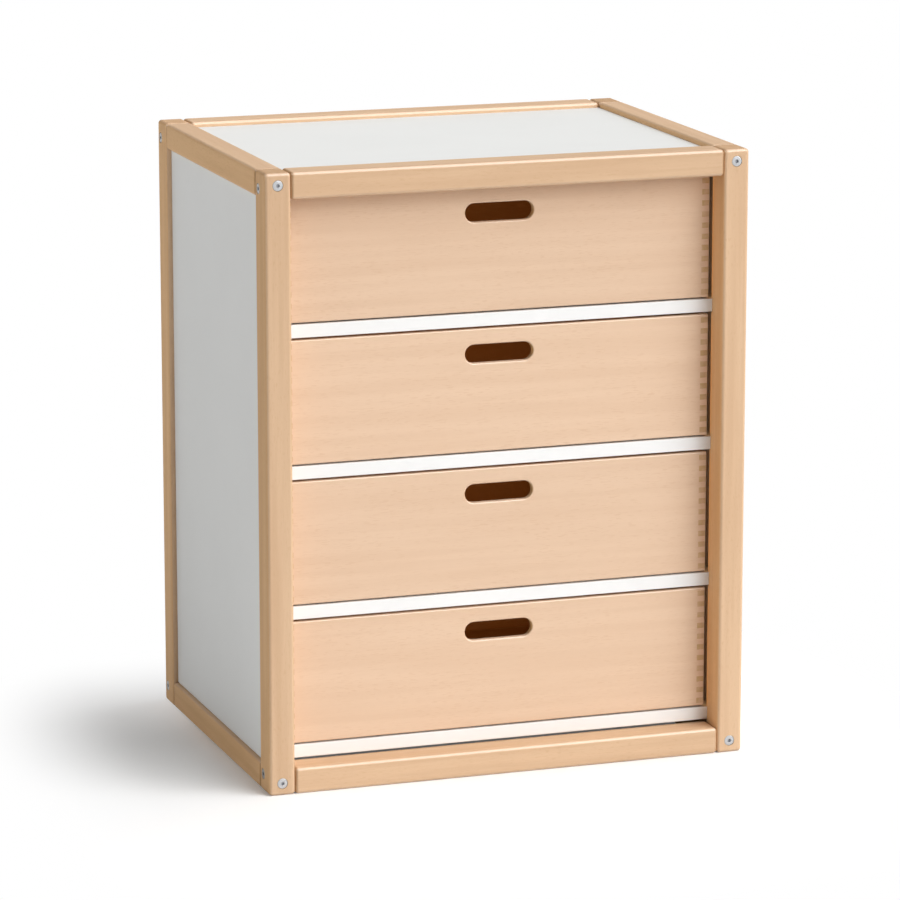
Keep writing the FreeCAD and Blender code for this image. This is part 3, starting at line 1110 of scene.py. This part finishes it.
@dataclass
class DrawerGlows:
    """The weak light in each closed drawer, and in the gap at its right side.

    Attributes:
        watts: The strength of a drawer's light.
        colour: The colour of a drawer's light.
        share: How much of the drawer's width and height its light fills.
        facing: The way that a drawer's light shines.
        gap_watts: The strength of a gap's light.
        gap_colour: The colour of a gap's light.
        gap_share: How far across the gap its light hangs.
        gap_depth: How deep into the gap its light reaches.
        gap_facing: The way that a gap's light shines.
    """

    watts: float = 0.05
    colour: Colour = (1.0, 0.42, 0.1)
    share: Span = (0.8, 0.6)
    facing: Point = (0.0, 1.0, -0.2)
    gap_watts: float = 0.004
    gap_colour: Colour = (1.0, 0.6, 0.26)
    gap_share: float = 0.25
    gap_depth: float = 0.012
    gap_facing: Point = (1.0, 0.0, 0.0)

    def lights(self) -> list[InnerGlow]:
        """Both lights of every drawer."""
        return [light for body in drawer_bodies() for light in (self.inside(body), self.beside(body))]

    def inside(self, body: str) -> InnerGlow:
        """The light in a drawer, upright over the middle of its bottom.

        Args:
            body: The drawer's name.

        Returns:
            The light.
        """
        low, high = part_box(f"{body}_bottom")
        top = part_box(f"{body}_front")[1][2]
        middle = ((low[0] + high[0]) / 2, (low[1] + high[1]) / 2, (low[2] + top) / 2)
        size = ((high[0] - low[0]) * self.share[0], (top - low[2]) * self.share[1])
        return InnerGlow(f"{body}_glow", middle, self.facing, size, self.watts, self.colour)

    def beside(self, body: str) -> InnerGlow:
        """The light in the gap between a drawer's right side and the cabinet.

        Args:
            body: The drawer's name.

        Returns:
            The light.
        """
        low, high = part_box(f"{body}_right")
        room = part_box("post_front_right")[0][0] - high[0]
        place = (high[0] + room * self.gap_share, low[1] + self.gap_depth / 2, (low[2] + high[2]) / 2)
        size = (self.gap_depth, high[2] - low[2])
        return InnerGlow(f"{body}_gap_glow", place, self.gap_facing, size, self.gap_watts, self.gap_colour)


@dataclass
class Floor:
    """A round pale floor that takes the shadow and fades to white away from the object.

    Attributes:
        radius: How far the floor goes.
        sides: How many corners its rim has.
        colour: The paint that the eye sees.
        bounce: The paint that lights the object from below.
        lift: The glow that makes up for light that the lamps don't give.
        fade: Where the fade begins and ends, past the starts below.
        side_start: How far beside the object the way to the fade is measured from.
        front_start: The same in front, clear of the open drawers.
        back_start: The same behind, and less than 0 because it is inside the object's depth.
        back_slope: How fast the way behind counts, against the other sides.
    """

    radius: float = 40.0
    sides: int = 96
    colour: Colour = (0.965, 0.965, 0.965)
    bounce: Colour = (0.7, 0.7, 0.7)
    lift: float = 0.085
    fade: Span = (0.04, 0.28)
    side_start: float = 0.07
    front_start: float = 0.36
    back_start: float = -0.35
    back_slope: float = 0.45

    def build(self, scene: bpy.types.Scene) -> None:
        """Lays the floor.

        Args:
            scene: The scene that gets it.
        """
        turns = [math.tau * step / self.sides for step in range(self.sides)]
        rim = [(self.radius * math.cos(turn), self.radius * math.sin(turn), 0.0) for turn in turns]
        mesh = bpy.data.meshes.new("floor")
        mesh.from_pydata(rim, [], [tuple(range(self.sides))])
        floor = bpy.data.objects.new("floor", mesh)
        scene.collection.objects.link(floor)
        mesh.materials.append(self.material())

    def material(self) -> bpy.types.Material:
        """Matte paint near the object, and plain white far away.

        Returns:
            The material.
        """
        made = bpy.data.materials.new("studio_floor")
        graph = Graph.cleared(made)
        looked_at = seen(graph)
        colour = graph.tint(looked_at, self.bounce, self.colour)
        paint = graph.add("ShaderNodeBsdfDiffuse", {"Color": colour}).outputs[0]
        lift = graph.math("MULTIPLY", looked_at, self.lift)
        glow = graph.add("ShaderNodeEmission", {"Strength": lift}).outputs[0]
        near = graph.add("ShaderNodeAddShader", {0: paint, 1: glow}).outputs[0]
        white = graph.add("ShaderNodeEmission", {"Strength": 1.0}).outputs[0]
        far = graph.math("MULTIPLY", self.faded(graph), looked_at)
        shader = graph.add("ShaderNodeMixShader", {0: far, 1: near, 2: white}).outputs[0]
        graph.add("ShaderNodeOutputMaterial", {"Surface": shader})
        return made

    def faded(self, graph: Graph) -> Socket:
        """How far the floor has gone over to white at a place.

        Args:
            graph: The tree that gets the nodes.

        Returns:
            The share of white, from 0 to 1.
        """
        place = graph.add("ShaderNodeTexCoord").outputs["Object"]
        across, deep, _ = graph.parts(place)
        low, high = cad_box
        left = graph.math("SUBTRACT", low[0] - self.side_start, across)
        right = graph.math("SUBTRACT", across, high[0] + self.side_start)
        front = graph.math("SUBTRACT", low[1] - self.front_start, deep)
        back = graph.math("SUBTRACT", deep, high[1] + self.back_start)
        back = graph.math("MULTIPLY", back, self.back_slope)
        reach = {"X": graph.math("MAXIMUM", left, right), "Y": graph.math("MAXIMUM", back, front)}
        beyond = graph.vector("MAXIMUM", graph.joined(reach), ORIGIN)
        return graph.spread(graph.length(beyond), self.fade)


@dataclass
class Viewpoint:
    """The camera, at the photograph's angle.

    Attributes:
        lens: The focal length, in millimetres.
        sensor: The width of the sensor, in millimetres.
        reach: How far the camera sees.
        place: Where it stands.
        azimuth: Its turn about the upright, in degrees.
        pitch: How far it looks down, in degrees.
    """

    lens: float = 185.02
    sensor: float = 36.0
    reach: float = 200.0
    place: Point = (-2.16283, -6.30163, 1.87983)
    azimuth: float = -18.975
    pitch: float = 12.363

    # The turn about X, in degrees, at which a camera looks level
    LEVEL = 90.0

    def build(self, scene: bpy.types.Scene) -> None:
        """Sets up the camera.

        Args:
            scene: The scene that is seen through it.
        """
        camera = bpy.data.cameras.new("camera")
        camera.lens = self.lens
        camera.sensor_width = self.sensor
        camera.clip_end = self.reach
        holder = bpy.data.objects.new("camera", camera)
        holder.location = self.place
        holder.rotation_euler = (math.radians(self.LEVEL - self.pitch), 0.0, math.radians(self.azimuth))
        scene.collection.objects.link(holder)
        scene.camera = holder


@dataclass
class Studio:
    """The white surround, the pale floor, the camera and the soft lights."""

    lights: tuple[SoftLight, ...] = (
        SoftLight("key_right", azimuth=40.0, elevation=31.0, level=0.97, spread=58.0),
        SoftLight("overhead_right", azimuth=80.0, elevation=66.0, level=0.275, spread=34.0),
        SoftLight("fill_left", azimuth=-98.0, elevation=12.0, level=0.297, spread=70.0),
    )
    ambient: float = 0.1

    def build(self) -> None:
        """Makes the whole studio round the object."""
        scene = bpy.context.scene
        scene.view_settings.view_transform = "Standard"
        self.make_world(scene)
        Floor().build(scene)
        Viewpoint().build(scene)
        lights = (*self.lights, *DrawerGlows().lights())
        for light in lights:
            light.build()
        log.info("the studio has %d lights", len(lights))

    def make_world(self, scene: bpy.types.Scene) -> None:
        """A surround that looks white and lights the object softly.

        Args:
            scene: The scene that gets it.
        """
        world = bpy.data.worlds.new("studio")
        scene.world = world
        graph = Graph.cleared(world)
        strength = graph.math("MULTIPLY_ADD", seen(graph), 1.0 - self.ambient, self.ambient)
        light = graph.add("ShaderNodeBackground", {"Color": opaque(WHITE), "Strength": strength})
        graph.add("ShaderNodeOutputWorld", {"Surface": light.outputs[0]})


def main() -> None:
    """Builds the drawer unit's looks, piece by piece, and the studio round it."""
    logging.basicConfig(level=logging.INFO, format="%(message)s")
    BarFrame().build()
    WhiteBoards().build()
    for body in drawer_bodies():
        Drawer(body).build()
    for side in Side:
        # The left side's bolts wear the darker copy with painted shade
        FrameBolts(side, SHADED_ZINC if side is Side.LEFT else BOLT_ZINC).build()
    dress("inserts", BOLT_ZINC)
    Studio().build()


if __name__ == "__main__":
    main()
